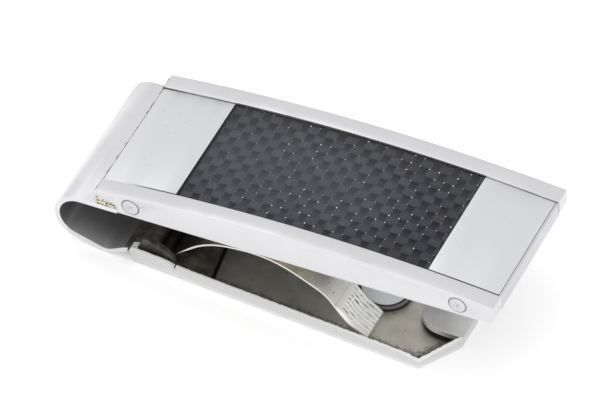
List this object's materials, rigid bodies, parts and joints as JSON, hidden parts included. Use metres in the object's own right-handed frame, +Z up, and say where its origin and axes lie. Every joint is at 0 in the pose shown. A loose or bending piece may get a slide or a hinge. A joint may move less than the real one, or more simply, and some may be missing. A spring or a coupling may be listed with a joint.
{
  "type": "money clip",
  "caption": "Hinged money clip: a looped steel band holds an arched bar with a carbon inlay over a shallow tray that carries a forked leaf spring.",
  "frame": {"origin": "on the surface it lies on, under the middle of the whole clip", "axes": "+X along the clip from the loop to the open mouth, +Y across its width, +Z up from the tray towards the inlaid bar"},
  "size_m": [0.0608, 0.0226, 0.0166],
  "materials": {
    "polished_steel": "fine satin polish",
    "band_steel": "satin polish outside, grey inside the loop",
    "spring_steel": "as rolled, lightly spotted",
    "inner_steel": "dull grey brown",
    "carbon_weave": "plain weave carbon under clear gloss resin",
    "core_metal": "milled",
    "solder": "rough, yellow and brown patina",
    "nickel": "nickel plate"
  },
  "bodies": {
    "arm": {"lower_tray": "band_steel", "hinge_bracket": "inner_steel", "hinge_pin": "inner_steel", "leaf_pin": "inner_steel", "magnet_cup": "inner_steel", "floor_magnet": "nickel"},
    "top": {"near_rail": "polished_steel", "far_rail": "polished_steel", "rear_cover": "polished_steel", "front_cover": "polished_steel", "carbon_inlay": "carbon_weave", "inlay_core": "core_metal", "backing_plate": "band_steel", "end_cap": "polished_steel", "rear_cross_pin": "polished_steel", "front_cross_pin": "polished_steel", "solder_fillets": "solder", "loop_band": "band_steel"},
    "leaf": {"leaf_spring": "spring_steel", "near_grip_pad": "spring_steel", "far_grip_pad": "spring_steel"}
  },
  "joints": [
    {"name": "clip_hinge", "type": "hinge", "parent": "arm", "child": "top", "pos_m": [-0.01761, 0, 0.002], "axis": [0, -1, 0], "range_deg": [0, 35], "stiffness_Nm_per_rad": 0.06, "springref_deg": -20.05},
    {"name": "leaf_hinge", "type": "hinge", "parent": "arm", "child": "leaf", "pos_m": [-0.01521, 0, 0.00245], "axis": [0, -1, 0], "range_deg": [0, 5], "stiffness_Nm_per_rad": 0.005, "springref_deg": -5.73}
  ]
}
